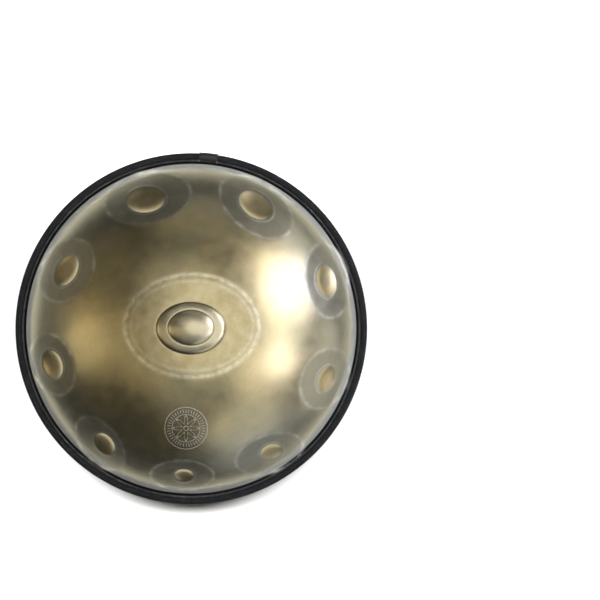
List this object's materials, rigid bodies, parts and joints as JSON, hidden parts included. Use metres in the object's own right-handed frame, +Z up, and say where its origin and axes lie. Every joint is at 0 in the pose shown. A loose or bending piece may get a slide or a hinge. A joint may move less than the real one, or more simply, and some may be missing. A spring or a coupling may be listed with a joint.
{
  "type": "handpan",
  "caption": "Lens-shaped steel handpan with a raised centre note, ringed tone fields, a round port underneath and a corded rim.",
  "frame": {"origin": "on the pan's axis, level with the lip of the port that it stands on", "axes": "+Z up along the pan's axis, towards the centre note; +Y towards the joint in the rim cord, to within 6 degrees; +X completes a right-handed frame"},
  "size_m": [0.53, 0.5313, 0.2349],
  "materials": {
    "bronzed_steel_top": "satin, heat-bronzed from gold at the crown to olive grey at the rim",
    "bronzed_steel_bottom": "satin, heat-bronzed from gold around the port to olive grey at the rim",
    "adhesive": "black elastic glue",
    "braid": "tight black polyester braid",
    "strand": "plain black filler yarn",
    "shrink_tube": "glossy black heat-shrink tube"
  },
  "bodies": {
    "root": {"top_shell": "bronzed_steel_top", "bottom_shell": "bronzed_steel_bottom", "flange_adhesive": "adhesive", "cord_bead": "adhesive", "cord_cover": "braid", "cord_core": "strand", "joint_sleeve": "shrink_tube"}
  },
  "joints": []
}
